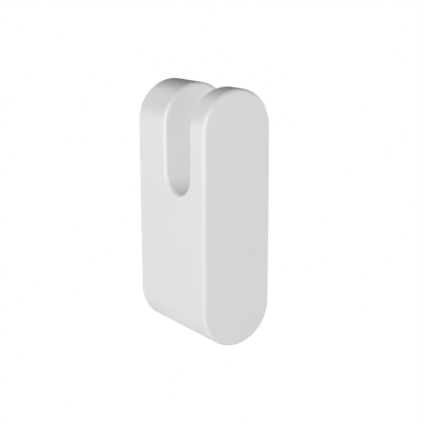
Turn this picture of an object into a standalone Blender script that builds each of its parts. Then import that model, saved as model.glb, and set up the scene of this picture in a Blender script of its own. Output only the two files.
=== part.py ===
"""Magnetic towel hook on an adhesive steel wall plate.

Metres, +Z up. The wall is the plane y = 0 and the hook stands out from it along -Y, so its front
faces -Y. The origin is the centre of the adhesive face that sticks to the wall.

The hook is a white moulded block, an upright obround from the front, with a round-bottomed slot cut
down from its top. A towel goes in the slot, behind the front lip. The block is cored from the rear and
closed by a screwed cover that holds two magnets under a steel yoke. A silicone pad covers the cover
and its screws. The pad grips a steel plate that is taped to the wall and nests inside the hook's rim,
so the hook can't slide down and comes off with a straight pull.
"""

import math

import bmesh
import bpy
from mathutils import Matrix, Vector

# Outside of the hook
HOOK_WIDTH = 0.0200
HOOK_HEIGHT = 0.0633
LIP_THICKNESS = 0.0061
SLOT_WIDTH = 0.0101
SLOT_DEPTH = 0.0258
EDGE_RADIUS = 0.0010
REAR_EDGE_RADIUS = 0.0008

# Walls of the moulding
RIM_WALL = 0.0016
LEDGE_WIDTH = 0.0010
SLOT_WALL = 0.0025
FLOOR_WALL = 0.0026
FRONT_WALL = 0.0026
POCKET_CORNER_RADIUS = 0.0015
RIB_THICKNESS = 0.0014
RIB_SETBACK = 0.0010
WEB_SETBACK = 0.0002

# Wall plate and its tape
WALL_GAP = 0.0005
TAPE_THICKNESS = 0.0010
TAPE_INSET = 0.0005
PLATE_THICKNESS = 0.0015
PLATE_EDGE_RADIUS = 0.0003
RIM_CLEARANCE = 0.0003

# Cover, pad, magnets and yoke
PAD_THICKNESS = 0.0006
PAD_INSET = 0.0005
COVER_THICKNESS = 0.0020
MAGNET_DIAMETER = 0.0100
MAGNET_THICKNESS = 0.0040
MAGNET_SKIN = 0.0005
MAGNET_CLEARANCE = 0.00015
YOKE_WIDTH = 0.0090
YOKE_THICKNESS = 0.0015
YOKE_OVERHANG = 0.0005
YOKE_CLEARANCE = 0.0003
PEG_DIAMETER = 0.0024
PEG_CLEARANCE = 0.0002
SEAT_GAP = 0.0001

# Screws that hold the cover, and their bosses
SCREW_DIAMETER = 0.0022
SCREW_HEAD_DIAMETER = 0.0042
SCREW_LENGTH = 0.0060
SCREW_TIP_LENGTH = 0.0012
SCREW_CLEARANCE = 0.0001
SCREW_RECESS_WIDTH = 0.0005
SCREW_RECESS_SPAN = 0.0020
SCREW_RECESS_DEPTH = 0.0007
SCREW_FROM_END = 0.0070
PILOT_RUN_OUT = 0.0004
BOSS_DIAMETER = 0.0050
BOSS_SPACING = 0.0005

# How finely the round shapes are cut into flats, and the angle past which an edge is a sharp one
ARC_SEGMENTS = 32
SLOT_SEGMENTS = 20
ROUND_SEGMENTS = 28
CORNER_SEGMENTS = 6
EDGE_SEGMENTS = 4
PLATE_EDGE_SEGMENTS = 2
SHARP_ANGLE = math.radians(40)

# How far a cutter runs past the surface that it opens, and how far a rib or boss roots in its wall
OVERRUN = 0.0040
ROOT = 0.0006

# Points closer than this count as one
MERGE_DISTANCE = 0.00001

# Planes across the depth, from the wall forwards
RIM_BACK = -WALL_GAP
PLATE_BACK = -TAPE_THICKNESS - SEAT_GAP
PAD_BACK = PLATE_BACK - PLATE_THICKNESS - SEAT_GAP
COVER_BACK = PAD_BACK - PAD_THICKNESS - SEAT_GAP
COVER_FRONT = COVER_BACK - COVER_THICKNESS
LEDGE_BACK = COVER_FRONT - SEAT_GAP
MAGNET_POCKET_FLOOR = COVER_BACK - MAGNET_SKIN
MAGNET_BACK = MAGNET_POCKET_FLOOR - SEAT_GAP
YOKE_BACK = MAGNET_BACK - MAGNET_THICKNESS - SEAT_GAP
YOKE_FRONT = YOKE_BACK - YOKE_THICKNESS
CHAMBER_FRONT = YOKE_FRONT - YOKE_CLEARANCE
SLOT_BACK = CHAMBER_FRONT - SLOT_WALL
SLOT_FRONT = SLOT_BACK - SLOT_WIDTH
HOOK_FRONT = SLOT_FRONT - LIP_THICKNESS
POCKET_FRONT = HOOK_FRONT + FRONT_WALL

# Heights, from the hook's middle
HOOK_TOP = HOOK_HEIGHT / 2
SLOT_FLOOR = HOOK_TOP - SLOT_DEPTH
POCKET_TOP = SLOT_FLOOR - FLOOR_WALL
SCREW_Z = HOOK_TOP - SCREW_FROM_END
YOKE_END_Z = SCREW_Z - BOSS_DIAMETER / 2 - BOSS_SPACING
MAGNET_Z = YOKE_END_Z - YOKE_OVERHANG - MAGNET_DIAMETER / 2

# How far each outline is drawn in from the hook's own
CORE_INSET = RIM_WALL + LEDGE_WIDTH
COVER_INSET = RIM_WALL + RIM_CLEARANCE

# The two like ends of the cover: a name, and the side of the middle that it is on
ENDS = (("upper", 1), ("lower", -1))

# Each finish: linear colour, roughness and metallic value
FINISHES = {
    "white_abs": ((0.80, 0.80, 0.80), 0.42, 0.0),
    "cover_abs": ((0.72, 0.72, 0.72), 0.50, 0.0),
    "grey_silicone": ((0.17, 0.17, 0.18), 0.70, 0.0),
    "nickel_plating": ((0.66, 0.62, 0.56), 0.22, 1.0),
    "zinc_plated_steel": ((0.56, 0.57, 0.58), 0.35, 1.0),
    "stainless_steel": ((0.60, 0.60, 0.59), 0.30, 1.0),
    "acrylic_foam": ((0.62, 0.63, 0.64), 0.85, 0.0),
}


def clear_scene():
    for obj in list(bpy.data.objects):
        bpy.data.objects.remove(obj, do_unlink=True)


def material(name):
    """The Principled material of that finish, made once."""
    if name in bpy.data.materials:
        return bpy.data.materials[name]
    colour, roughness, metallic = FINISHES[name]
    made = bpy.data.materials.new(name)
    made.use_nodes = True
    shader = made.node_tree.nodes["Principled BSDF"]
    shader.inputs["Base Color"].default_value = (*colour, 1.0)
    shader.inputs["Roughness"].default_value = roughness
    shader.inputs["Metallic"].default_value = metallic
    return made


def add_object(name, bm, location=(0, 0, 0)):
    """Turns a bmesh, built about its own origin, into an object at that place."""
    bmesh.ops.recalc_face_normals(bm, faces=bm.faces)
    mesh = bpy.data.meshes.new(name)
    bm.to_mesh(mesh)
    bm.free()
    obj = bpy.data.objects.new(name, mesh)
    obj.location = location
    bpy.context.scene.collection.objects.link(obj)
    return obj


def add_piece(name, bm, finish, parent, location=(0, 0, 0)):
    """A piece of the object, with its finish, that moves with its parent."""
    piece = add_object(name, bm, location)
    piece.parent = parent
    piece.data.materials.append(material(finish))
    piece.data.shade_smooth()
    piece.data.set_sharp_from_angle(angle=SHARP_ANGLE)
    return piece


def combine(piece, operation, name, bm, location=(0, 0, 0)):
    """Cuts a shape from a piece, or joins one to it. The shape stays as a hidden helper."""
    helper = add_object(name, bm, location)
    helper.hide_render = True
    helper.display_type = "WIRE"
    modifier = piece.modifiers.new(name, "BOOLEAN")
    modifier.operation = operation
    modifier.solver = "EXACT"
    modifier.object = helper


def round_sharp_edges(piece, name, radius, segments):
    """Rounds every edge that is still sharp at this point of the piece's modifiers."""
    modifier = piece.modifiers.new(name, "BEVEL")
    modifier.width = radius
    modifier.segments = segments
    modifier.limit_method = "ANGLE"
    modifier.angle_limit = SHARP_ANGLE
    modifier.use_clamp_overlap = False


def arc(centre, radius, start, end, segments):
    """Points along an arc, both ends included, with the angles in degrees."""
    points = []
    for step in range(segments + 1):
        angle = math.radians(start + (end - start) * step / segments)
        points.append((centre[0] + radius * math.cos(angle), centre[1] + radius * math.sin(angle)))
    return points


def obround(width, height, segments=ARC_SEGMENTS):
    """An upright strip with half-round ends, as (x, z) points."""
    rise = (height - width) / 2
    top = arc((0, rise), width / 2, 0, 180, segments)
    bottom = arc((0, -rise), width / 2, 180, 360, segments)
    return top + bottom


def hook_outline(inset=0.0):
    """The hook's front outline, drawn in all round."""
    return obround(HOOK_WIDTH - 2 * inset, HOOK_HEIGHT - 2 * inset)


def pocket_outline():
    """The core below the slot: the hook's own round bottom under a flat top with round corners."""
    radius = HOOK_WIDTH / 2 - CORE_INSET
    corner_x = radius - POCKET_CORNER_RADIUS
    corner_z = POCKET_TOP - POCKET_CORNER_RADIUS
    bottom = arc((0, HOOK_WIDTH / 2 - HOOK_TOP), radius, 180, 360, ARC_SEGMENTS)
    right = arc((corner_x, corner_z), POCKET_CORNER_RADIUS, 0, 90, CORNER_SEGMENTS)
    left = arc((-corner_x, corner_z), POCKET_CORNER_RADIUS, 90, 180, CORNER_SEGMENTS)
    return bottom + right + left


def slot_outline():
    """The slot from the side, as (y, z) points: straight walls on a half-round floor, open past the top."""
    radius = SLOT_WIDTH / 2
    floor = arc(((SLOT_FRONT + SLOT_BACK) / 2, SLOT_FLOOR + radius), radius, 180, 360, SLOT_SEGMENTS)
    mouth = HOOK_TOP + OVERRUN
    return floor + [(SLOT_BACK, mouth), (SLOT_FRONT, mouth)]


def prism(points, travel):
    """An outline of 3D points, filled and extruded along travel."""
    bm = bmesh.new()
    face = bm.faces.new([bm.verts.new(point) for point in points])
    grown = bmesh.ops.extrude_face_region(bm, geom=[face])["geom"]
    moved = [item for item in grown if isinstance(item, bmesh.types.BMVert)]
    bmesh.ops.translate(bm, vec=travel, verts=moved)
    return bm


def slab(outline, thickness):
    """A prism of an (x, z) outline, from the local plane y = 0 forwards."""
    return prism([(x, 0, z) for x, z in outline], Vector((0, -thickness, 0)))


def rod(radius, length):
    """A cylinder on the local depth axis, from the local plane y = 0 forwards."""
    bm = bmesh.new()
    forwards = Matrix.Rotation(math.radians(90), 4, "X")
    bmesh.ops.create_cone(
        bm,
        cap_ends=True,
        segments=ROUND_SEGMENTS,
        radius1=radius,
        radius2=radius,
        depth=length,
        matrix=Matrix.Translation((0, -length / 2, 0)) @ forwards,
    )
    return bm


def turned(profile):
    """A profile of (radius, y) points that starts and ends on the local depth axis, turned about it."""
    bm = bmesh.new()
    verts = [bm.verts.new((radius, y, 0)) for radius, y in profile]
    edges = [bm.edges.new(pair) for pair in zip(verts, verts[1:])]
    bmesh.ops.spin(
        bm,
        geom=verts + edges,
        cent=(0, 0, 0),
        axis=(0, 1, 0),
        angle=2 * math.pi,
        steps=ROUND_SEGMENTS,
        use_merge=True,
    )
    bmesh.ops.remove_doubles(bm, verts=bm.verts, dist=MERGE_DISTANCE)
    return bm


def block(low, high):
    """A rectangular block between two corners."""
    low, high = Vector(low), Vector(high)
    size = Matrix.Diagonal((*(high - low), 1.0))
    bm = bmesh.new()
    bmesh.ops.create_cube(bm, size=1.0, matrix=Matrix.Translation((low + high) / 2) @ size)
    return bm


def hook_slab():
    """The hook's outline at its full depth, with the rear edge rounded."""
    bm = slab(hook_outline(), RIM_BACK - HOOK_FRONT)
    rear_edges = [edge for edge in bm.edges if all(abs(v.co.y) < MERGE_DISTANCE for v in edge.verts)]
    bmesh.ops.bevel(
        bm,
        geom=rear_edges,
        offset=REAR_EDGE_RADIUS,
        segments=EDGE_SEGMENTS,
        profile=0.5,
        affect="EDGES",
        material=-1,
    )
    return bm


def cut_slot(body):
    """Cuts the towel slot, then rounds its edges and the front edge."""
    half_length = HOOK_WIDTH / 2 + OVERRUN
    across = [(-half_length, y, z) for y, z in slot_outline()]
    combine(body, "DIFFERENCE", "towel_slot", prism(across, Vector((2 * half_length, 0, 0))))
    round_sharp_edges(body, "edge_radius", EDGE_RADIUS, EDGE_SEGMENTS)


def core_out(body):
    """Cuts the recess for the cover and the wall plate, the magnet chamber and the pocket below the slot."""
    mouth = RIM_BACK + OVERRUN
    for name, outline, front in (
        ("cover_recess", hook_outline(RIM_WALL), LEDGE_BACK),
        ("magnet_chamber", hook_outline(CORE_INSET), CHAMBER_FRONT),
        ("core_pocket", pocket_outline(), POCKET_FRONT),
    ):
        combine(body, "DIFFERENCE", name, slab(outline, mouth - front), (0, mouth, 0))


def add_bosses(body):
    """Adds each screw's boss, with a rib to the end wall, and the web from the lower boss up to the slot."""
    radius = BOSS_DIAMETER / 2
    half_rib = RIB_THICKNESS / 2
    end_wall = HOOK_TOP - CORE_INSET + ROOT
    for (name, side), floor in zip(ENDS, (CHAMBER_FRONT, POCKET_FRONT)):
        root = floor - ROOT
        boss = rod(radius, LEDGE_BACK - root)
        combine(body, "UNION", f"{name}_boss", boss, (0, LEDGE_BACK, side * SCREW_Z))
        low, high = sorted((side * SCREW_Z, side * end_wall))
        rib = block((-half_rib, root, low), (half_rib, LEDGE_BACK - RIB_SETBACK, high))
        combine(body, "UNION", f"{name}_boss_rib", rib)
    web_back = CHAMBER_FRONT - WEB_SETBACK
    web = block((-half_rib, POCKET_FRONT - ROOT, -SCREW_Z), (half_rib, web_back, POCKET_TOP + ROOT))
    combine(body, "UNION", "centre_web", web)


def bore_bosses(body):
    """Bores each boss for its screw, a little deeper than the screw reaches."""
    radius = SCREW_DIAMETER / 2 + SCREW_CLEARANCE
    length = SCREW_LENGTH + PILOT_RUN_OUT
    for name, side in ENDS:
        bore = rod(radius, length)
        combine(body, "DIFFERENCE", f"{name}_pilot_bore", bore, (0, COVER_BACK, side * SCREW_Z))


def make_hook_body(parent):
    body = add_piece("hook_body", hook_slab(), "white_abs", parent, (0, RIM_BACK, 0))
    cut_slot(body)
    core_out(body)
    add_bosses(body)
    bore_bosses(body)


def screw_hole():
    """The cutter for a countersunk hole. Its cone of 45 degrees runs out past the cover's face."""
    hole = SCREW_DIAMETER / 2 + SCREW_CLEARANCE
    sink = SCREW_HEAD_DIAMETER / 2 + SCREW_CLEARANCE
    end = -COVER_THICKNESS - OVERRUN
    return turned(((0, OVERRUN), (sink + OVERRUN, OVERRUN), (hole, hole - sink), (hole, end), (0, end)))


def make_rear_cover(parent):
    """The cover: a locating peg and two magnet pockets on its inner face, and two countersunk screw holes."""
    bm = slab(hook_outline(COVER_INSET), COVER_THICKNESS)
    cover = add_piece("rear_cover", bm, "cover_abs", parent, (0, COVER_BACK, 0))
    peg_root = COVER_FRONT + ROOT
    peg = rod(PEG_DIAMETER / 2, peg_root - YOKE_FRONT)
    combine(cover, "UNION", "locating_peg", peg, (0, peg_root, 0))
    pocket_radius = MAGNET_DIAMETER / 2 + MAGNET_CLEARANCE
    for name, side in ENDS:
        pocket = rod(pocket_radius, COVER_THICKNESS)
        pocket_place = (0, MAGNET_POCKET_FLOOR, side * MAGNET_Z)
        combine(cover, "DIFFERENCE", f"{name}_magnet_pocket", pocket, pocket_place)
        combine(cover, "DIFFERENCE", f"{name}_screw_hole", screw_hole(), (0, COVER_BACK, side * SCREW_Z))


def make_magnets(parent):
    for name, side in ENDS:
        disc = rod(MAGNET_DIAMETER / 2, MAGNET_THICKNESS)
        add_piece(f"{name}_magnet", disc, "nickel_plating", parent, (0, MAGNET_BACK, side * MAGNET_Z))


def make_yoke_plate(parent):
    """The steel strip across both magnets, with a hole for the cover's peg."""
    bm = slab(obround(YOKE_WIDTH, 2 * YOKE_END_Z, ROUND_SEGMENTS), YOKE_THICKNESS)
    yoke = add_piece("yoke_plate", bm, "zinc_plated_steel", parent, (0, YOKE_BACK, 0))
    radius = PEG_DIAMETER / 2 + PEG_CLEARANCE
    hole = rod(radius, YOKE_THICKNESS + 2 * OVERRUN)
    combine(yoke, "DIFFERENCE", "peg_hole", hole, (0, YOKE_BACK + OVERRUN, 0))


def screw_blank():
    """A countersunk screw before its recess is cut, with its head's flat face at y = 0."""
    shank, head = SCREW_DIAMETER / 2, SCREW_HEAD_DIAMETER / 2
    tip = SCREW_TIP_LENGTH - SCREW_LENGTH
    return turned(((0, 0), (head, 0), (shank, shank - head), (shank, tip), (0, -SCREW_LENGTH)))


def make_cover_screws(parent):
    """The two screws that hold the cover, each with a cross recess in its head."""
    half_width, half_span = SCREW_RECESS_WIDTH / 2, SCREW_RECESS_SPAN / 2
    for name, side in ENDS:
        place = (0, COVER_BACK, side * SCREW_Z)
        screw = add_piece(f"{name}_cover_screw", screw_blank(), "zinc_plated_steel", parent, place)
        for way, x, z in (("level", half_span, half_width), ("upright", half_width, half_span)):
            recess = block((-x, -SCREW_RECESS_DEPTH, -z), (x, OVERRUN, z))
            combine(screw, "DIFFERENCE", f"{name}_screw_{way}_recess", recess, place)


def make_grip_pad(parent):
    bm = slab(hook_outline(COVER_INSET + PAD_INSET), PAD_THICKNESS)
    add_piece("grip_pad", bm, "grey_silicone", parent, (0, PAD_BACK, 0))


def make_wall_plate(parent):
    bm = slab(hook_outline(COVER_INSET), PLATE_THICKNESS)
    plate = add_piece("wall_plate", bm, "stainless_steel", parent, (0, PLATE_BACK, 0))
    round_sharp_edges(plate, "deburred_edge", PLATE_EDGE_RADIUS, PLATE_EDGE_SEGMENTS)


def make_adhesive_pad(parent):
    bm = slab(hook_outline(COVER_INSET + TAPE_INSET), TAPE_THICKNESS)
    add_piece("adhesive_pad", bm, "acrylic_foam", parent)


def add_empty(name):
    """The parent of the pieces that move together, on the line along which the hook pulls off."""
    empty = bpy.data.objects.new(name, None)
    bpy.context.scene.collection.objects.link(empty)
    return empty


def main():
    clear_scene()
    wall_side = add_empty("wall_side")
    make_adhesive_pad(wall_side)
    make_wall_plate(wall_side)
    hook_side = add_empty("hook_side")
    make_hook_body(hook_side)
    make_rear_cover(hook_side)
    make_magnets(hook_side)
    make_yoke_plate(hook_side)
    make_cover_screws(hook_side)
    make_grip_pad(hook_side)


main()
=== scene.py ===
"""Magnetic towel hook, dressed for a studio picture: the moulded hook, what it holds and its wall plate.

Metres, +Z up. The wall is the plane y = 0 and the hook's front faces -Y. Each piece is modelled in
place, finer than the packed solid that it stands for, and rides on the same body as that solid.
"""

import math
from functools import partial

import bmesh
import bpy
from bpy.props import FloatProperty, FloatVectorProperty, PointerProperty
from mathutils import Matrix, Vector


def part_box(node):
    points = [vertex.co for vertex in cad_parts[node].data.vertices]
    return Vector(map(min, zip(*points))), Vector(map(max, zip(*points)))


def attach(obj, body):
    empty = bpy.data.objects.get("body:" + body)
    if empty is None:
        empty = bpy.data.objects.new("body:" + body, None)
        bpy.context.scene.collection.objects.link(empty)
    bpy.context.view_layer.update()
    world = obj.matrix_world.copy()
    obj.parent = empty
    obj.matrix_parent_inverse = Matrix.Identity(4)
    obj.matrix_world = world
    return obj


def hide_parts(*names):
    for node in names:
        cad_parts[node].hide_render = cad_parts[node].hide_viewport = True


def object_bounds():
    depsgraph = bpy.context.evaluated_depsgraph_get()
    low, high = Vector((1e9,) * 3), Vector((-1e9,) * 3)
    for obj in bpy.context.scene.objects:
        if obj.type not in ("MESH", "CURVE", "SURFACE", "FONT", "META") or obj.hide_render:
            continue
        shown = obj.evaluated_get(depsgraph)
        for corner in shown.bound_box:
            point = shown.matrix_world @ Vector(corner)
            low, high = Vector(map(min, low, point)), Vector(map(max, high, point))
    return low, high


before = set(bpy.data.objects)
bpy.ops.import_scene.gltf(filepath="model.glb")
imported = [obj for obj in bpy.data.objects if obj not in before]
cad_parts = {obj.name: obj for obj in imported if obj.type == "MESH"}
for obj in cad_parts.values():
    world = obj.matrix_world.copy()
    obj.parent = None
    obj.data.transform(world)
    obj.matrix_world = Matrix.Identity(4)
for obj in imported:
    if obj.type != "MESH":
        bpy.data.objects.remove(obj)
CAD_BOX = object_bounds()

bl_info = {
    "name": "Magnetic Towel Hook",
    "version": (1, 0, 0),
    "blender": (4, 5, 0),
    "location": "3D View > Sidebar > Towel Hook",
    "description": "Models a magnetic towel hook, the pieces inside it and its steel wall plate",
    "category": "Add Mesh",
}

# Flats along a half circle of an outline, round a rod, a thread or a dot, and across a rounded edge
OUTLINE_STEPS = 72
ROUND_STEPS = 64
THREAD_STEPS = 36
DOT_STEPS = 12
EDGE_STEPS = 8
FINE_EDGE_STEPS = 4
DOT_EDGE_STEPS = 2

# Edges that turn more than this are sharp, and points closer than this count as one
SHARP_ANGLE = math.radians(35)
MERGE_DISTANCE = 0.000001

# How far a cutter runs past the surface that it opens, and how far a rib or boss roots in its wall
OVERRUN = 0.004
ROOT = 0.0006

# The two like ends of the hook: a name, and the side of the middle that it is on
ENDS = (("upper", 1), ("lower", -1))

# The lamps: name, azimuth and elevation in degrees, diameter, and whether matt and glossy surfaces see it.
# The fill and rear lamps leave no patch of gloss, and the glint only shines along the rounded edges.
LAMPS = (
    ("key", -48, 18, 0.6, True, True),
    ("side", -130, 4, 0.4, True, True),
    ("fill", 45, 0, 0.4, True, False),
    ("rim", 90, 0, 0.4, True, True),
    ("back", 180, 25, 0.4, True, True),
    ("rear", 180, 0, 0.2, True, False),
    ("glint", -54, -4, 0.15, False, True),
)
LAMP_DISTANCE = 1.0
PURE_WHITE = (1.0, 1.0, 1.0, 1.0)

Length = partial(FloatProperty, unit="LENGTH", subtype="DISTANCE", min=0.0, precision=5)
Angle = partial(FloatProperty, unit="ROTATION", subtype="ANGLE")
Colour = partial(FloatVectorProperty, subtype="COLOR", size=4, min=0.0, max=1.0)
Power = partial(FloatProperty, unit="POWER", min=0.0)


def linear(hex_colour):
    """An sRGB hex colour as linear red, green, blue and alpha."""
    channels = [int(hex_colour[place : place + 2], 16) / 255 for place in (1, 3, 5)]
    return tuple(c / 12.92 if c <= 0.04045 else ((c + 0.055) / 1.055) ** 2.4 for c in channels) + (1.0,)


class MouldingSizes(bpy.types.PropertyGroup):
    """Hook moulding"""

    slot_width: Length(name="Slot width", description="Gap for the towel, front to back", default=0.0101)
    slot_depth: Length(name="Slot depth", description="From the top to the slot's floor", default=0.0258)
    lip_thickness: Length(name="Lip thickness", description="Ear in front of the slot", default=0.0061)
    edge_radius: Length(name="Edge radius", description="Round of the front and slot edges", default=0.0010)
    rear_edge_radius: Length(name="Rear edge radius", description="Round at the wall", default=0.0008)
    rim_wall: Length(name="Rim wall", description="Wall round the recess for the plate", default=0.0016)
    rim_edge_radius: Length(name="Rim edge radius", description="Round in the rim's mouth", default=0.00025)
    ledge_width: Length(name="Ledge width", description="Ledge that the rear cover sits on", default=0.0010)
    front_wall: Length(name="Front wall", description="Wall in front of the lower core", default=0.0026)
    floor_wall: Length(name="Floor wall", description="Wall under the slot's floor", default=0.0026)
    core_corner: Length(name="Core corner", description="Upper corners of the lower core", default=0.0015)
    boss_diameter: Length(name="Boss diameter", description="Post that a screw bites into", default=0.0050)
    rib_thickness: Length(name="Rib thickness", description="Ribs that brace the bosses", default=0.0014)
    rib_setback: Length(name="Rib setback", description="Boss above its rib", default=0.0010)
    web_setback: Length(name="Web setback", description="Web below the chamber's floor", default=0.0002)
    yoke_clearance: Length(name="Yoke clearance", description="Space in front of the yoke", default=0.0003)
    pilot_run_out: Length(name="Pilot run-out", description="Bore beyond a screw's point", default=0.0004)


class InsideSizes(bpy.types.PropertyGroup):
    """Cover, magnets, yoke and screws"""

    seat_gap: Length(name="Seat gap", description="Air between two seated faces", default=0.0001)
    cover_thickness: Length(name="Cover thickness", description="Sheet of the rear cover", default=0.0020)
    cover_edge_radius: Length(name="Cover edge radius", description="Round of its edges", default=0.0002)
    magnet_clearance: Length(name="Magnet clearance", description="Air round a magnet", default=0.00015)
    magnet_edge_radius: Length(name="Magnet edge radius", description="Worn edge", default=0.0003)
    peg_diameter: Length(name="Peg diameter", description="Peg that places the yoke", default=0.0024)
    peg_clearance: Length(name="Peg clearance", description="Air round the peg in the yoke", default=0.0002)
    stamped_edge_radius: Length(name="Stamped edge radius", description="Edge of the yoke", default=0.00025)
    screw_diameter: Length(name="Screw diameter", description="Over the thread's crests", default=0.0022)
    screw_clearance: Length(name="Screw clearance", description="Air round a screw", default=0.0001)
    screw_tip: Length(name="Screw tip", description="Tapered end of a screw", default=0.0012)
    head_land: Length(name="Head land", description="Upright edge of a screw head", default=0.00005)
    thread_pitch: Length(name="Thread pitch", description="Advance in one turn", default=0.0008)
    thread_depth: Length(name="Thread depth", description="Crest to root of the thread", default=0.00022)
    recess_width: Length(name="Recess width", description="Arm of the cross recess", default=0.0005)
    recess_span: Length(name="Recess span", description="Across the cross recess", default=0.0020)
    recess_depth: Length(name="Recess depth", description="Depth of the cross recess", default=0.0007)


class WallSideSizes(bpy.types.PropertyGroup):
    """Grip pad, wall plate and tape"""

    dot_spacing: Length(name="Dot spacing", description="Pitch of the pad's raised dots", default=0.0021)
    dot_diameter: Length(name="Dot diameter", description="Foot of a raised dot", default=0.0012)
    dot_height: Length(name="Dot height", description="Dots above the sheet", default=0.00025)
    bead_width: Length(name="Bead width", description="Raised bead round the pad's edge", default=0.0009)
    pad_edge_radius: Length(name="Pad edge radius", description="Round of the pad's bead", default=0.0001)
    plate_edge_radius: Length(name="Plate edge radius", description="Deburred edge", default=0.0003)
    tape_skin: Length(name="Tape skin", description="Adhesive on each face of the foam", default=0.00008)
    foam_inset: Length(name="Foam inset", description="Foam drawn in between its skins", default=0.00012)


class FinishColours(bpy.types.PropertyGroup):
    """Colours"""

    hook_white: Colour(name="Hook white", description="ABS of the hook", default=linear("#ECECED"))
    cover_white: Colour(name="Cover white", description="ABS of the rear cover", default=linear("#DEDEDC"))
    silicone_grey: Colour(name="Silicone grey", description="Grip pad's rubber", default=linear("#747476"))
    nickel: Colour(name="Nickel", description="Plating of the magnets", default=linear("#D4CDC4"))
    zinc: Colour(name="Zinc", description="Plating of the yoke and screws", default=linear("#C5C7C9"))
    steel: Colour(name="Steel", description="Bare steel of the wall plate", default=linear("#CBCBC9"))
    foam_grey: Colour(name="Foam grey", description="Acrylic foam of the tape", default=linear("#C9CACC"))
    floor_white: Colour(name="Floor white", description="Paper of the floor", default=linear("#EDEDED"))


class StageSettings(bpy.types.PropertyGroup):
    """Camera, lamps and floor"""

    aim: FloatVectorProperty(
        name="Aim",
        description="Point that the camera looks at",
        subtype="TRANSLATION",
        unit="LENGTH",
        default=(0.00167, -0.01579, -0.00058),
    )
    azimuth: Angle(name="Azimuth", description="Camera's turn round the hook", default=math.radians(-35.84))
    elevation: Angle(name="Elevation", description="Camera's height angle", default=math.radians(14.27))
    roll: Angle(name="Roll", description="Camera's lean", default=math.radians(-0.08))
    distance: Length(name="Distance", description="From the camera to its aim", default=0.2423)
    lens: FloatProperty(name="Lens", description="Focal length", unit="CAMERA", default=82.23)
    floor_drop: Length(name="Floor drop", description="From the hook's middle to the floor", default=0.20)
    floor_radius: Length(name="Floor radius", description="Reach of the floor", default=14.0)
    key_power: Power(name="Key lamp", description="Large lamp at the left of the camera", default=7.46)
    side_power: Power(name="Side lamp", description="Lamp at the hook's left rear", default=1.79)
    fill_power: Power(name="Fill lamp", description="Lamp at the right of the camera", default=1.46)
    rim_power: Power(name="Rim lamp", description="Lamp at the hook's right rear", default=4.92)
    back_power: Power(name="Back lamp", description="Lamp above the wall side", default=1.28)
    rear_power: Power(name="Rear lamp", description="Lamp straight behind the wall side", default=2.6)
    glint_power: Power(name="Glint card", description="Card that shines in the rounded edges", default=3.3)


# Meshes


def swept_point(bm, start, centre, axis, angle, steps):
    """Sweeps a new point round a centre, and returns the first and last points of the arc."""
    first = bm.verts.new(start)
    swept = bmesh.ops.spin(bm, geom=[first], cent=centre, axis=axis, angle=angle, steps=steps)
    return first, swept["geom_last"][0]


def fill_outline(bm, stretches):
    """Links stretches of points, each end to the next start, and fills the closed line."""
    for (_, end), (start, _) in zip(stretches, stretches[1:] + stretches[:1]):
        bm.edges.new((end, start))
    bmesh.ops.edgeloop_fill(bm, edges=bm.edges)


def verts_in(geometry):
    """The points among what an operator gives back."""
    return [item for item in geometry if isinstance(item, bmesh.types.BMVert)]


def extrude_all(bm, travel):
    """Gives a filled outline its thickness."""
    grown = bmesh.ops.extrude_face_region(bm, geom=bm.faces[:])["geom"]
    bmesh.ops.translate(bm, vec=travel, verts=verts_in(grown))


def obround_slab(width, height, back, front):
    """An upright strip with half-round ends, between two planes across the depth."""
    bm = bmesh.new()
    rise = (height - width) / 2
    ends = []
    for _, side in ENDS:
        start, centre = (side * width / 2, back, side * rise), (0, back, side * rise)
        ends.append(swept_point(bm, start, centre, (0, -1, 0), math.pi, OUTLINE_STEPS))
    fill_outline(bm, ends)
    extrude_all(bm, (0, front - back, 0))
    return bm


def node_slab(node):
    """The strip that fills a packed node's box."""
    low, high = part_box(node)
    return obround_slab(high.x - low.x, high.z - low.z, high.y, low.y)


def middle_height(node):
    """The height of a packed node's middle."""
    low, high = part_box(node)
    return (low.z + high.z) / 2


def rod(radius, back, front, z):
    """A cylinder along the depth, between two planes, at a height."""
    bm = bmesh.new()
    forwards = Matrix.Translation((0, (back + front) / 2, z)) @ Matrix.Rotation(math.radians(90), 4, "X")
    bmesh.ops.create_cone(
        bm,
        cap_ends=True,
        segments=ROUND_STEPS,
        radius1=radius,
        radius2=radius,
        depth=back - front,
        matrix=forwards,
    )
    return bm


def turned(profile, z):
    """A profile of (radius, y) points, from the depth axis back to it, turned about it at a height."""
    bm = bmesh.new()
    verts = [bm.verts.new((radius, y, z)) for radius, y in profile]
    edges = [bm.edges.new(pair) for pair in zip(verts, verts[1:])]
    bmesh.ops.spin(
        bm,
        geom=verts + edges,
        cent=(0, 0, z),
        axis=(0, 1, 0),
        angle=2 * math.pi,
        steps=ROUND_STEPS,
        use_merge=True,
    )
    return bm


def block(low, high):
    """A rectangular block between two corners."""
    low, high = Vector(low), Vector(high)
    bm = bmesh.new()
    size = Matrix.Diagonal((*(high - low), 1.0))
    bmesh.ops.create_cube(bm, size=1.0, matrix=Matrix.Translation((low + high) / 2) @ size)
    return bm


def sharp_edges(bm, depth=None):
    """The sharp edges: all of them, or those on one plane across the depth."""
    found = [edge for edge in bm.edges if edge.calc_face_angle(0.0) > SHARP_ANGLE]
    if depth is None:
        return found
    return [edge for edge in found if all(abs(v.co.y - depth) < MERGE_DISTANCE for v in edge.verts)]


def round_edges(bm, edges, radius, segments):
    """Rounds the given edges, and returns the bmesh."""
    bmesh.ops.bevel(
        bm,
        geom=edges,
        offset=radius,
        segments=segments,
        profile=0.5,
        affect="EDGES",
        material=-1,
        clamp_overlap=False,
    )
    return bm


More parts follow.
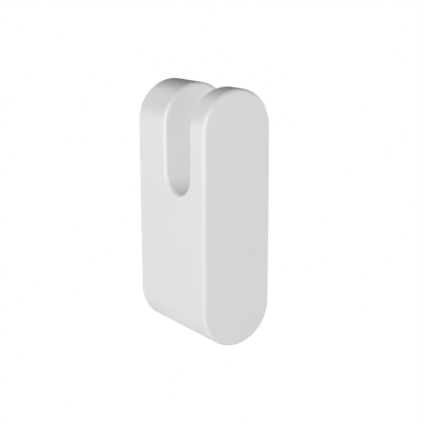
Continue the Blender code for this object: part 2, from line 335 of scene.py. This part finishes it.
def new_object(name, bm):
    """Turns a bmesh into an object, with its doubles merged and its faces outwards."""
    bmesh.ops.remove_doubles(bm, verts=bm.verts, dist=MERGE_DISTANCE)
    bmesh.ops.recalc_face_normals(bm, faces=bm.faces)
    mesh = bpy.data.meshes.new(name)
    bm.to_mesh(mesh)
    bm.free()
    made = bpy.data.objects.new(name, mesh)
    bpy.context.scene.collection.objects.link(made)
    return made


def apply_modifiers(piece):
    """Makes the modified shape the piece's own mesh."""
    shaped = piece.evaluated_get(bpy.context.evaluated_depsgraph_get())
    plain = piece.data
    piece.data = bpy.data.meshes.new_from_object(shaped)
    piece.modifiers.clear()
    bpy.data.meshes.remove(plain)
    piece.data.name = piece.name


def combine(piece, operation, bm):
    """Joins a shape to a piece, cuts it from the piece, or keeps what they share."""
    tool = new_object("tool", bm)
    modifier = piece.modifiers.new("combine", "BOOLEAN")
    modifier.solver = "MANIFOLD"
    modifier.operation = operation
    modifier.object = tool
    apply_modifiers(piece)
    shape = tool.data
    bpy.data.objects.remove(tool)
    bpy.data.meshes.remove(shape)


def reshape(piece, change):
    """Runs a change on the piece's mesh as a bmesh."""
    bm = bmesh.new()
    bm.from_mesh(piece.data)
    change(bm)
    bm.to_mesh(piece.data)
    bm.free()


def clean_cuts(bm):
    """Takes out what cuts leave behind: edges of no length, and points where only two edges meet."""
    bmesh.ops.dissolve_degenerate(bm, edges=bm.edges, dist=MERGE_DISTANCE)
    bmesh.ops.dissolve_verts(bm, verts=[vert for vert in bm.verts if len(vert.link_edges) == 2])


def finish_piece(piece, node, material, body):
    """Shades a piece so that its flats stay flat, and gives it its material, its slot and its body."""
    reshape(piece, clean_cuts)
    piece.data.shade_smooth()
    piece.data.set_sharp_from_angle(angle=SHARP_ANGLE)
    normals = piece.modifiers.new("flat_faces", "WEIGHTED_NORMAL")
    normals.keep_sharp = True
    apply_modifiers(piece)
    piece.data.materials.clear()
    piece.data.materials.append(material)
    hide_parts(node)
    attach(piece, body)


# Materials


def add_node(tree, kind, sockets=None, **settings):
    """Adds a node with its settings, and fills its sockets with values or with other nodes' outputs."""
    node = tree.nodes.new("ShaderNode" + kind)
    for name, value in settings.items():
        setattr(node, name, value)
    for name, value in (sockets or {}).items():
        if isinstance(value, bpy.types.NodeSocket):
            tree.links.new(value, node.inputs[name])
        else:
            node.inputs[name].default_value = value
    return node


def new_material(name, sockets):
    """A material of one shader, given back with its node tree, its shader and the object's coordinates."""
    material = bpy.data.materials.new(name)
    material.use_nodes = True
    tree = material.node_tree
    tree.nodes.clear()
    shader = add_node(tree, "BsdfPrincipled", sockets)
    add_node(tree, "OutputMaterial", {"Surface": shader.outputs["BSDF"]})
    return material, tree, shader, add_node(tree, "TexCoord").outputs["Object"]


def shade(colour, share):
    """A colour with its light scaled by a share."""
    return (*(channel * share for channel in colour[:3]), 1.0)


def dress(tree, shader, pattern, colours, roughness, relief, height):
    """Runs colour and roughness along a pattern, each between two values, and raises a relief."""
    # A Mix node's colour sockets share their names with its other sockets, so they go by number
    mixed = add_node(tree, "Mix", {0: pattern, 6: colours[0], 7: colours[1]}, data_type="RGBA")
    tree.links.new(mixed.outputs[2], shader.inputs["Base Color"])
    spread = add_node(tree, "MapRange", {"Value": pattern, "To Min": roughness[0], "To Max": roughness[1]})
    tree.links.new(spread.outputs["Result"], shader.inputs["Roughness"])
    bump = add_node(tree, "Bump", {"Height": relief, "Distance": height})
    tree.links.new(bump.outputs["Normal"], shader.inputs["Normal"])


def moulded_abs(name, white, roughness, grain):
    """ABS from a spark-eroded mould."""
    # The eroded steel leaves a fine satin that spreads every highlight wide and soft. The white is even
    # but for a faint cloud where the melt flowed. Real grit of 0.05 mm can't show, so it is drawn coarser.
    flow_size = 0.014
    material, tree, shader, place = new_material(name, {"IOR": 1.46})
    flow = add_node(tree, "TexNoise", {"Vector": place, "Scale": 1 / flow_size, "Detail": 2.0})
    grit = add_node(tree, "TexNoise", {"Vector": place, "Scale": 1 / grain, "Detail": 3.0})
    dress(
        tree,
        shader,
        pattern=flow.outputs["Fac"],
        colours=(shade(white, 0.985), shade(white, 1.015)),
        roughness=roughness,
        relief=grit.outputs["Fac"],
        height=0.02 * grain,
    )
    return material


def moulded_silicone(grey):
    """Silicone rubber, compression moulded."""
    # Soft and matt, with a pale bloom that gathers in patches and a velvety edge at a low angle. The
    # mould's grain of 0.05 mm can't show, so it is drawn five times as coarse.
    bloom_size, grain_size = 0.0018, 0.00025
    material, tree, shader, place = new_material("moulded_silicone", {"IOR": 1.43, "Sheen Weight": 0.2})
    bloom = add_node(tree, "TexNoise", {"Vector": place, "Scale": 1 / bloom_size, "Detail": 4.0})
    grain = add_node(tree, "TexNoise", {"Vector": place, "Scale": 1 / grain_size, "Detail": 2.0})
    dress(
        tree,
        shader,
        pattern=bloom.outputs["Fac"],
        colours=(shade(grey, 0.85), shade(grey, 1.15)),
        roughness=(0.55, 0.7),
        relief=grain.outputs["Fac"],
        height=0.08 * grain_size,
    )
    return material


def nickel_plating(nickel):
    """Bright nickel, barrel plated on a sintered magnet."""
    # A warm mirror, softened by the sintered body's slight orange peel and by rubs from the barrel.
    peel_size, rub_size = 0.0006, 0.0025
    material, tree, shader, place = new_material("nickel_plating", {"Metallic": 1.0})
    rubs = add_node(tree, "TexNoise", {"Vector": place, "Scale": 1 / rub_size, "Detail": 6.0})
    peel = add_node(tree, "TexNoise", {"Vector": place, "Scale": 1 / peel_size})
    dress(
        tree,
        shader,
        pattern=rubs.outputs["Fac"],
        colours=(shade(nickel, 0.92), shade(nickel, 1.04)),
        roughness=(0.14, 0.3),
        relief=peel.outputs["Fac"],
        height=0.02 * peel_size,
    )
    return material


def zinc_plating(name, zinc):
    """Zinc, electroplated on a steel stamping or screw and passivated clear."""
    # Cool silver that drifts towards straw in patches, with the fine sparkle of the plated crystals, which
    # are drawn at 0.1 mm because their real 0.02 mm can't show.
    drift_size, crystal_size = 0.003, 0.0001
    straw = (zinc[0] * 1.04, zinc[1] * 1.01, zinc[2] * 0.9, 1.0)
    material, tree, shader, place = new_material(name, {"Metallic": 1.0})
    drift = add_node(tree, "TexNoise", {"Vector": place, "Scale": 1 / drift_size, "Detail": 3.0})
    crystals = add_node(tree, "TexVoronoi", {"Vector": place, "Scale": 1 / crystal_size})
    dress(
        tree,
        shader,
        pattern=drift.outputs["Fac"],
        colours=(zinc, straw),
        roughness=(0.28, 0.42),
        relief=crystals.outputs["Distance"],
        height=0.05 * crystal_size,
    )
    return material


def brushed_stainless(steel):
    """Ferritic stainless sheet, brushed along its length."""
    # Fine upright scratches that stretch every highlight sideways. A real belt leaves lines about 0.05 mm
    # wide, which can't show, so they are drawn four times as wide.
    line_width, line_length = 0.0002, 0.012
    material, tree, shader, place = new_material("brushed_stainless", {"Metallic": 1.0, "Anisotropic": 0.5})
    scale = (1 / line_width, 1 / line_width, 1 / line_length)
    along = add_node(tree, "Mapping", {"Vector": place, "Scale": scale})
    lines = add_node(tree, "TexNoise", {"Vector": along.outputs["Vector"], "Scale": 1.0, "Detail": 3.0})
    dress(
        tree,
        shader,
        pattern=lines.outputs["Fac"],
        colours=(shade(steel, 0.85), shade(steel, 1.1)),
        roughness=(0.24, 0.4),
        relief=lines.outputs["Fac"],
        height=0.05 * line_width,
    )
    across = add_node(tree, "Tangent", direction_type="RADIAL", axis="Z")
    tree.links.new(across.outputs["Tangent"], shader.inputs["Tangent"])
    return material


def acrylic_foam(grey):
    """Closed-cell acrylic foam tape, die cut."""
    # Dull grey with pinhead cells that the cut opens, so that the edge looks pitted and the faces tacky.
    cell_size = 0.0003
    material, tree, shader, place = new_material("acrylic_foam", {"IOR": 1.47})
    cells = add_node(tree, "TexVoronoi", {"Vector": place, "Scale": 1 / cell_size})
    # The colour darkens into each cell's hollow and lightens on its rim. The cells are real, and this
    # darkening is painted shade in their pits.
    dress(
        tree,
        shader,
        pattern=cells.outputs["Distance"],
        colours=(shade(grey, 0.82), shade(grey, 1.08)),
        roughness=(0.5, 0.85),
        relief=cells.outputs["Distance"],
        height=0.2 * cell_size,
    )
    return material


# Pieces


def slot_cutter(sizes, low, high):
    """The towel slot: straight walls on a half-round floor, open past the top and both sides."""
    bm = bmesh.new()
    side, radius = high.x + OVERRUN, sizes.slot_width / 2
    front = low.y + sizes.lip_thickness
    centre = (-side, front + radius, high.z - sizes.slot_depth + radius)
    floor = swept_point(bm, (-side, front, centre[2]), centre, (1, 0, 0), math.pi, ROUND_STEPS)
    corners = [bm.verts.new((-side, y, high.z + OVERRUN)) for y in (front + sizes.slot_width, front)]
    fill_outline(bm, [floor] + [(corner, corner) for corner in corners])
    extrude_all(bm, (2 * side, 0, 0))
    return bm


def lower_core_cutter(sizes, low, high, back, front, top):
    """The core below the slot: the hook's own round bottom under a flat top with round corners."""
    bm = bmesh.new()
    radius = high.x - sizes.rim_wall - sizes.ledge_width
    centre = (0, back, low.z + high.x)
    bottom = swept_point(bm, (-radius, back, centre[2]), centre, (0, -1, 0), math.pi, OUTLINE_STEPS)
    corners = [bm.verts.new((x, back, top)) for x in (radius, -radius)]
    fill_outline(bm, [bottom] + [(corner, corner) for corner in corners])
    extrude_all(bm, (0, front - back, 0))
    corner_edges = []
    for edge in bm.edges:
        ends = [vert.co for vert in edge.verts]
        if min(end.z for end in ends) > top - MERGE_DISTANCE and ends[0].y != ends[1].y:
            corner_edges.append(edge)
    return round_edges(bm, corner_edges, sizes.core_corner, EDGE_STEPS)


def core_out(body, sizes, inside):
    """Cuts the recess, the chamber and the lower core, adds bosses and ribs, and bores the bosses."""
    low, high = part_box("hook_body")
    cover_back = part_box("rear_cover")[1].y
    ledge = cover_back - inside.cover_thickness - inside.seat_gap
    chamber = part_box("yoke_plate")[0].y - sizes.yoke_clearance
    core_front = low.y + sizes.front_wall
    core_top = high.z - sizes.slot_depth - sizes.floor_wall
    core_inset = sizes.rim_wall + sizes.ledge_width
    mouth = high.y + OVERRUN
    width, height = 2 * high.x, 2 * high.z
    for inset, front in ((sizes.rim_wall, ledge), (core_inset, chamber)):
        combine(body, "DIFFERENCE", obround_slab(width - 2 * inset, height - 2 * inset, mouth, front))
    combine(body, "DIFFERENCE", lower_core_cutter(sizes, low, high, mouth, core_front, core_top))
    half_rib = sizes.rib_thickness / 2
    end_wall = high.z - core_inset + ROOT
    rib_back = ledge - sizes.rib_setback
    for (name, side), floor in zip(ENDS, (chamber, core_front)):
        z = middle_height(f"{name}_cover_screw")
        combine(body, "UNION", rod(sizes.boss_diameter / 2, ledge, floor - ROOT, z))
        below, above = sorted((z, side * end_wall))
        combine(body, "UNION", block((-half_rib, floor - ROOT, below), (half_rib, rib_back, above)))
    web_low = (-half_rib, core_front - ROOT, middle_height("lower_cover_screw"))
    web_high = (half_rib, chamber - sizes.web_setback, core_top + ROOT)
    combine(body, "UNION", block(web_low, web_high))
    bore = inside.screw_diameter / 2 + inside.screw_clearance
    for name, _ in ENDS:
        bore_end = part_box(f"{name}_cover_screw")[0].y - sizes.pilot_run_out
        combine(body, "DIFFERENCE", rod(bore, cover_back, bore_end, middle_height(f"{name}_cover_screw")))


class TOWELHOOK_OT_hook(bpy.types.Operator):
    """Models the white hook moulding, with its slot, its core and its screw bosses"""

    bl_idname = "towelhook.hook"
    bl_label = "Hook Moulding"

    def execute(self, context):
        sizes, inside = context.scene.towelhook_moulding, context.scene.towelhook_inside
        low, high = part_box("hook_body")
        bm = node_slab("hook_body")
        round_edges(bm, sharp_edges(bm, high.y), sizes.rear_edge_radius, EDGE_STEPS)
        hook = new_object("hook_moulding", bm)
        combine(hook, "DIFFERENCE", slot_cutter(sizes, low, high))
        reshape(hook, lambda bm: round_edges(bm, sharp_edges(bm), sizes.edge_radius, EDGE_STEPS))
        core_out(hook, sizes, inside)
        rim = sizes.rim_edge_radius
        reshape(hook, lambda bm: round_edges(bm, sharp_edges(bm, high.y), rim, FINE_EDGE_STEPS))
        white = context.scene.towelhook_colours.hook_white
        plastic = moulded_abs("satin_moulded_abs", white, roughness=(0.35, 0.41), grain=0.0002)
        finish_piece(hook, "hook_body", plastic, "hook")
        return {"FINISHED"}


def countersunk_hole(inside, head_radius, back, z):
    """The cutter for a screw hole. Its cone of 45 degrees runs out past the cover's face."""
    hole = inside.screw_diameter / 2 + inside.screw_clearance
    sink = head_radius + inside.screw_clearance
    end = back - inside.cover_thickness - OVERRUN
    mouth = back + OVERRUN
    profile = ((0, mouth), (sink + OVERRUN, mouth), (hole, back + hole - sink), (hole, end), (0, end))
    return turned(profile, z)


class TOWELHOOK_OT_cover(bpy.types.Operator):
    """Models the rear cover, with its peg, its magnet pockets and its screw holes"""

    bl_idname = "towelhook.cover"
    bl_label = "Rear Cover"

    def execute(self, context):
        inside = context.scene.towelhook_inside
        low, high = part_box("rear_cover")
        front = high.y - inside.cover_thickness
        bm = obround_slab(2 * high.x, 2 * high.z, high.y, front)
        round_edges(bm, sharp_edges(bm), inside.cover_edge_radius, FINE_EDGE_STEPS)
        cover = new_object("cover_moulding", bm)
        peg = rod(inside.peg_diameter / 2, front + ROOT, low.y, 0)
        round_edges(peg, sharp_edges(peg, low.y), inside.cover_edge_radius, FINE_EDGE_STEPS)
        combine(cover, "UNION", peg)
        for name, _ in ENDS:
            magnet, screw = f"{name}_magnet", f"{name}_cover_screw"
            magnet_high, screw_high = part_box(magnet)[1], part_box(screw)[1]
            floor = magnet_high.y + inside.seat_gap
            radius = magnet_high.x + inside.magnet_clearance
            combine(cover, "DIFFERENCE", rod(radius, floor, front - OVERRUN, middle_height(magnet)))
            hole = countersunk_hole(inside, screw_high.x, high.y, middle_height(screw))
            combine(cover, "DIFFERENCE", hole)
        white = context.scene.towelhook_colours.cover_white
        plastic = moulded_abs("matt_moulded_abs", white, roughness=(0.55, 0.65), grain=0.0003)
        finish_piece(cover, "rear_cover", plastic, "hook")
        return {"FINISHED"}


class TOWELHOOK_OT_magnets(bpy.types.Operator):
    """Models the two disc magnets, with their edges worn round in the plating barrel"""

    bl_idname = "towelhook.magnets"
    bl_label = "Magnets"

    def execute(self, context):
        plating = nickel_plating(context.scene.towelhook_colours.nickel)
        radius = context.scene.towelhook_inside.magnet_edge_radius
        for name, _ in ENDS:
            low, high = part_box(f"{name}_magnet")
            bm = rod(high.x, high.y, low.y, middle_height(f"{name}_magnet"))
            round_edges(bm, sharp_edges(bm), radius, FINE_EDGE_STEPS)
            magnet = new_object(f"{name}_disc_magnet", bm)
            finish_piece(magnet, f"{name}_magnet", plating, "hook")
        return {"FINISHED"}


class TOWELHOOK_OT_yoke(bpy.types.Operator):
    """Models the stamped yoke strip with its peg hole, its edges rolled by the punch"""

    bl_idname = "towelhook.yoke"
    bl_label = "Yoke Plate"

    def execute(self, context):
        inside = context.scene.towelhook_inside
        low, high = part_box("yoke_plate")
        yoke = new_object("stamped_yoke", node_slab("yoke_plate"))
        radius = inside.peg_diameter / 2 + inside.peg_clearance
        combine(yoke, "DIFFERENCE", rod(radius, high.y + OVERRUN, low.y - OVERRUN, 0))
        edge = inside.stamped_edge_radius
        reshape(yoke, lambda bm: round_edges(bm, sharp_edges(bm), edge, FINE_EDGE_STEPS))
        plating = zinc_plating("zinc_plated_stamping", context.scene.towelhook_colours.zinc)
        finish_piece(yoke, "yoke_plate", plating, "hook")
        return {"FINISHED"}


def thread_ridge(inside, neck, taper, point, z):
    """A ridge that winds out of the screw's head, proud of the crests, and sinks into the taper."""
    bm = bmesh.new()
    # Shares of the thread's depth, above its crests and below its roots, then of its pitch
    proud, sunk, foot_share, crest_share = 0.2, 0.5, 0.68, 0.1
    crest = inside.screw_diameter / 2 + proud * inside.thread_depth
    foot = inside.screw_diameter / 2 - (1 + sunk) * inside.thread_depth
    half_foot, half_crest = foot_share * inside.thread_pitch / 2, crest_share * inside.thread_pitch / 2
    corners = ((foot, half_foot), (foot, -half_foot), (crest, -half_crest), (crest, half_crest))
    start = neck + half_foot + proud * inside.thread_depth
    section = bm.faces.new([bm.verts.new((radius, start + rise, 0)) for radius, rise in corners])
    # Shares of the way up from the point, where it would vanish and where it ends, sunk in the taper, and
    # the least share of its radius that is left
    vanishing_share, end_share, least_left = 0.12, 0.3, 0.05
    vanishing, end = (point + share * (taper - point) for share in (vanishing_share, end_share))
    steps = round(THREAD_STEPS * (start - end) / inside.thread_pitch)
    bmesh.ops.spin(
        bm,
        geom=[section],
        axis=(0, 1, 0),
        dvec=(0, -inside.thread_pitch / THREAD_STEPS, 0),
        angle=2 * math.pi * steps / THREAD_STEPS,
        steps=steps,
    )
    for vert in bm.verts:
        draw_in = min(max((vert.co.y - vanishing) / (taper - vanishing), least_left), 1.0)
        bmesh.ops.scale(bm, vec=(draw_in, 1.0, draw_in), verts=[vert])
    # Turned so that none of its edges lies along an edge of the shank
    off_edges = Matrix.Rotation(math.radians(2), 3, "Y")
    bmesh.ops.rotate(bm, matrix=off_edges, verts=bm.verts)
    bmesh.ops.translate(bm, vec=(0, 0, z), verts=bm.verts)
    return bm


def cross_recess(inside, back, z):
    """The two arms of the cross, each drawn in towards its floor."""
    floor_share = 0.6
    floor, above = back - inside.recess_depth, back + inside.recess_depth
    for x, rise in ((inside.recess_span, inside.recess_width), (inside.recess_width, inside.recess_span)):
        bm = block((-x / 2, floor, z - rise / 2), (x / 2, above, z + rise / 2))
        deep = [vert for vert in bm.verts if abs(vert.co.y - floor) < MERGE_DISTANCE]
        draw_in = Vector((floor_share, 1.0, floor_share))
        bmesh.ops.scale(bm, vec=draw_in, space=Matrix.Translation((0, 0, -z)), verts=deep)
        yield bm


class TOWELHOOK_OT_screws(bpy.types.Operator):
    """Models the two countersunk screws, with their threads and cross recesses"""

    bl_idname = "towelhook.screws"
    bl_label = "Cover Screws"

    def execute(self, context):
        inside = context.scene.towelhook_inside
        plating = zinc_plating("zinc_plated_screw", context.scene.towelhook_colours.zinc)
        crest = inside.screw_diameter / 2
        core = crest - inside.thread_depth
        for name, _ in ENDS:
            low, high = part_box(f"{name}_cover_screw")
            z, head, back, point = middle_height(f"{name}_cover_screw"), high.x, high.y, low.y
            edge, taper = back - inside.head_land, point + inside.screw_tip
            ridge = thread_ridge(inside, edge + crest - head, taper, point, z)
            screw = new_object(f"{name}_threaded_screw", ridge)
            outside = ((0, back), (crest, back), (crest, taper), (0, point))
            combine(screw, "INTERSECT", turned(outside, z))
            head_side = ((0, back), (head, back), (head, edge), (core, edge + core - head))
            combine(screw, "UNION", turned((*head_side, (core, taper), (0, point)), z))
            for arm in cross_recess(inside, back, z):
                combine(screw, "DIFFERENCE", arm)
            finish_piece(screw, f"{name}_cover_screw", plating, "hook")
        return {"FINISHED"}


def raised_dots(sizes, foot, top, width, height):
    """Low round dots in staggered rows, over a strip with half-round ends."""
    bm = bmesh.new()
    # A dot's top as a share of its foot, and its rounded edge as a share of its height
    top_share, edge_share = 0.7, 0.3
    # Degrees by column and by row that turn each dot its own way, so that a row's points aren't in line
    column_turn, row_turn = 7, 3
    forwards = Matrix.Translation((0, (foot + top) / 2, 0)) @ Matrix.Rotation(math.radians(90), 4, "X")
    radius = sizes.dot_diameter / 2
    bmesh.ops.create_cone(
        bm,
        cap_ends=True,
        segments=DOT_STEPS,
        radius1=top_share * radius,
        radius2=radius,
        depth=top - foot,
        matrix=forwards,
    )
    round_edges(bm, sharp_edges(bm, top), edge_share * (top - foot), DOT_EDGE_STEPS)
    first = bm.verts[:] + bm.edges[:] + bm.faces[:]
    # Every second row is set over by half a pitch, and rows close up so that all dots are a pitch apart
    pitch, set_over, row_share = sizes.dot_spacing, 0.5, math.sqrt(0.75)
    reach, rise = width / 2 - radius, (height - width) / 2
    rows, columns = round(height / pitch), round(width / pitch)
    for row in range(-rows, rows + 1):
        for column in range(-columns, columns + 1):
            x, z = (column + set_over * (row % 2)) * pitch, row * pitch * row_share
            if math.hypot(x, max(abs(z) - rise, 0)) < reach:
                copy = verts_in(bmesh.ops.duplicate(bm, geom=first)["geom"])
                turn = Matrix.Rotation(math.radians(column_turn * column + row_turn * row), 3, "Y")
                bmesh.ops.rotate(bm, matrix=turn, verts=copy)
                bmesh.ops.translate(bm, vec=(x, 0, z), verts=copy)
    bmesh.ops.delete(bm, geom=verts_in(first), context="VERTS")
    return bm


class TOWELHOOK_OT_grip_pad(bpy.types.Operator):
    """Models the silicone pad that grips the wall plate, with its bead and raised dots"""

    bl_idname = "towelhook.grip_pad"
    bl_label = "Grip Pad"

    def execute(self, context):
        sizes = context.scene.towelhook_wall_side
        low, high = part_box("grip_pad")
        width, height = 2 * (high.x - sizes.bead_width), 2 * (high.z - sizes.bead_width)
        sheet = high.y - sizes.dot_height
        pad = new_object("dotted_grip_pad", node_slab("grip_pad"))
        combine(pad, "DIFFERENCE", obround_slab(width, height, high.y + OVERRUN, sheet))
        edge = sizes.pad_edge_radius
        reshape(pad, lambda bm: round_edges(bm, sharp_edges(bm, high.y), edge, FINE_EDGE_STEPS))
        combine(pad, "UNION", raised_dots(sizes, (low.y + sheet) / 2, high.y, width, height))
        rubber = moulded_silicone(context.scene.towelhook_colours.silicone_grey)
        finish_piece(pad, "grip_pad", rubber, "hook")
        return {"FINISHED"}


class TOWELHOOK_OT_wall_plate(bpy.types.Operator):
    """Models the brushed steel plate that the hook clings to"""

    bl_idname = "towelhook.wall_plate"
    bl_label = "Wall Plate"

    def execute(self, context):
        bm = node_slab("wall_plate")
        edge = context.scene.towelhook_wall_side.plate_edge_radius
        round_edges(bm, sharp_edges(bm), edge, FINE_EDGE_STEPS)
        plate = new_object("brushed_wall_plate", bm)
        steel = brushed_stainless(context.scene.towelhook_colours.steel)
        finish_piece(plate, "wall_plate", steel, "wall_mount")
        return {"FINISHED"}


class TOWELHOOK_OT_tape(bpy.types.Operator):
    """Models the foam tape, with its core drawn in between two skins of adhesive"""

    bl_idname = "towelhook.tape"
    bl_label = "Foam Tape"

    def execute(self, context):
        sizes = context.scene.towelhook_wall_side
        low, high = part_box("adhesive_pad")
        width, height = 2 * high.x, 2 * high.z
        inset, skin = 2 * sizes.foam_inset, sizes.tape_skin
        tape = new_object("foam_tape", obround_slab(width, height, high.y, high.y - skin))
        core = obround_slab(width - inset, height - inset, high.y - skin / 2, low.y + skin / 2)
        combine(tape, "UNION", core)
        combine(tape, "UNION", obround_slab(width, height, low.y + skin, low.y))
        foam = acrylic_foam(context.scene.towelhook_colours.foam_grey)
        finish_piece(tape, "adhesive_pad", foam, "wall_mount")
        return {"FINISHED"}


# Stage


def direction(azimuth, elevation):
    """The way from the hook towards a camera or a lamp."""
    level = math.cos(elevation)
    return Vector((math.sin(azimuth) * level, -math.cos(azimuth) * level, math.sin(elevation)))


def place_facing(thing, centre, away, distance):
    """Sets a camera or lamp at a distance from a point, looking back at it."""
    thing.location = centre + distance * away
    thing.rotation_euler = away.to_track_quat("Z", "Y").to_euler()


def white_rays(tree):
    """One for rays that the camera sees, straight, in a gloss or through glass, and nought for the rest."""
    path = add_node(tree, "LightPath").outputs
    seen = path["Is Camera Ray"]
    for other in ("Is Glossy Ray", "Is Transmission Ray"):
        seen = add_node(tree, "Math", {0: seen, 1: path[other]}, operation="MAXIMUM").outputs["Value"]
    return seen


def studio_paper(white):
    """The floor: matt paper that the camera sees as plain white but for the shadow under the hook."""
    # Pure white from 0.13 m round the point under the hook. Nearer, the lit paper shows, and the shadow.
    shadow_reach, shadow_white = 0.24, 0.45
    material, tree, shader, place = new_material("studio_paper", {"Base Color": white, "Roughness": 0.9})
    near = add_node(tree, "Mapping", {"Vector": place, "Scale": (1 / shadow_reach,) * 3})
    ball = add_node(tree, "TexGradient", {"Vector": near.outputs["Vector"]}, gradient_type="SPHERICAL")
    far = add_node(tree, "MapRange", {"Value": ball.outputs["Fac"], "To Min": 1.0, "To Max": shadow_white})
    share = add_node(tree, "Math", {0: far.outputs["Result"], 1: white_rays(tree)}, operation="MULTIPLY")
    glow = add_node(tree, "Emission", {"Color": PURE_WHITE, "Strength": 1.0})
    layers = {0: share.outputs["Value"], 1: shader.outputs["BSDF"], 2: glow.outputs["Emission"]}
    seen = add_node(tree, "MixShader", layers)
    tree.links.new(seen.outputs["Shader"], tree.get_output_node("ALL").inputs["Surface"])
    return material


class TOWELHOOK_OT_stage(bpy.types.Operator):
    """Sets the camera, the soft lamps, the floor and the white surroundings"""

    bl_idname = "towelhook.stage"
    bl_label = "Stage"

    def execute(self, context):
        stage = context.scene.towelhook_stage
        self.add_camera(context.scene, stage)
        self.add_lamps(context.scene, stage)
        self.add_floor(context.scene, stage)
        self.add_surroundings(context.scene)
        context.scene.view_settings.view_transform = "Standard"
        return {"FINISHED"}

    def add_camera(self, scene, stage):
        lens = bpy.data.cameras.new("camera")
        lens.lens = stage.lens
        lens.clip_start = 0.01
        camera = bpy.data.objects.new("camera", lens)
        place_facing(camera, Vector(stage.aim), direction(stage.azimuth, stage.elevation), stage.distance)
        camera.rotation_euler.rotate_axis("Z", stage.roll)
        scene.collection.objects.link(camera)
        scene.camera = camera

    def add_lamps(self, scene, stage):
        low, high = CAD_BOX
        for name, azimuth, elevation, diameter, on_matt, on_gloss in LAMPS:
            light = bpy.data.lights.new(f"{name}_lamp", "AREA")
            light.shape = "DISK"
            light.size = diameter
            light.energy = getattr(stage, f"{name}_power")
            lamp = bpy.data.objects.new(f"{name}_lamp", light)
            away = direction(math.radians(azimuth), math.radians(elevation))
            place_facing(lamp, (low + high) / 2, away, LAMP_DISTANCE)
            lamp.visible_camera = False
            lamp.visible_diffuse = on_matt
            lamp.visible_glossy = on_gloss
            scene.collection.objects.link(lamp)

    def add_floor(self, scene, stage):
        bm = bmesh.new()
        bmesh.ops.create_circle(
            bm,
            cap_ends=True,
            segments=ROUND_STEPS,
            radius=stage.floor_radius,
            matrix=Matrix.Translation((0, 0, -stage.floor_drop)),
        )
        floor = new_object("studio_floor", bm)
        floor.data.materials.append(studio_paper(scene.towelhook_colours.floor_white))

    def add_surroundings(self, scene):
        # White walls to the camera. A gloss sees them only at its own level, with dark above. The heights
        # are those of the way that it looks, from -1 straight down to 1 straight up.
        white_below, dark_above = 0.0, 0.1
        world = bpy.data.worlds.new("white_studio")
        world.use_nodes = True
        tree = world.node_tree
        tree.nodes.clear()
        path = add_node(tree, "LightPath").outputs
        way = add_node(tree, "TexCoord").outputs["Generated"]
        height = add_node(tree, "SeparateXYZ", {"Vector": way}).outputs["Z"]
        band = {"From Min": white_below, "From Max": dark_above, "To Min": 1.0, "To Max": 0.0}
        wall = add_node(tree, "MapRange", {"Value": height, **band}).outputs["Result"]
        shine = {0: wall, 1: path["Is Glossy Ray"]}
        gloss = add_node(tree, "Math", shine, operation="MULTIPLY").outputs["Value"]
        straight = {0: path["Is Camera Ray"], 1: path["Is Transmission Ray"]}
        seen = add_node(tree, "Math", straight, operation="MAXIMUM").outputs["Value"]
        white = add_node(tree, "Math", {0: seen, 1: gloss}, operation="MAXIMUM").outputs["Value"]
        sky = add_node(tree, "Background", {"Color": PURE_WHITE, "Strength": white})
        add_node(tree, "OutputWorld", {"Surface": sky.outputs["Background"]})
        scene.world = world


class TOWELHOOK_PT_sidebar(bpy.types.Panel):
    """Lists the pieces, the stage and their settings"""

    bl_idname = "TOWELHOOK_PT_sidebar"
    bl_label = "Towel Hook"
    bl_space_type = "VIEW_3D"
    bl_region_type = "UI"
    bl_category = "Towel Hook"

    def draw(self, context):
        for operator in OPERATORS:
            self.layout.operator(operator.bl_idname)
        for name, group in SETTINGS.items():
            box = self.layout.box()
            box.label(text=group.__doc__)
            for setting in group.__annotations__:
                box.prop(getattr(context.scene, name), setting)


# In the order in which main calls them
OPERATORS = (
    TOWELHOOK_OT_hook,
    TOWELHOOK_OT_cover,
    TOWELHOOK_OT_magnets,
    TOWELHOOK_OT_yoke,
    TOWELHOOK_OT_screws,
    TOWELHOOK_OT_grip_pad,
    TOWELHOOK_OT_wall_plate,
    TOWELHOOK_OT_tape,
    TOWELHOOK_OT_stage,
)

SETTINGS = {
    "towelhook_moulding": MouldingSizes,
    "towelhook_inside": InsideSizes,
    "towelhook_wall_side": WallSideSizes,
    "towelhook_colours": FinishColours,
    "towelhook_stage": StageSettings,
}

CLASSES = (*SETTINGS.values(), *OPERATORS, TOWELHOOK_PT_sidebar)


def register():
    for kind in CLASSES:
        bpy.utils.register_class(kind)
    for name, kind in SETTINGS.items():
        setattr(bpy.types.Scene, name, PointerProperty(type=kind))


def unregister():
    for name in SETTINGS:
        delattr(bpy.types.Scene, name)
    for kind in reversed(CLASSES):
        bpy.utils.unregister_class(kind)


def main():
    register()
    bpy.ops.towelhook.hook()
    bpy.ops.towelhook.cover()
    bpy.ops.towelhook.magnets()
    bpy.ops.towelhook.yoke()
    bpy.ops.towelhook.screws()
    bpy.ops.towelhook.grip_pad()
    bpy.ops.towelhook.wall_plate()
    bpy.ops.towelhook.tape()
    bpy.ops.towelhook.stage()


if __name__ == "__main__":
    main()
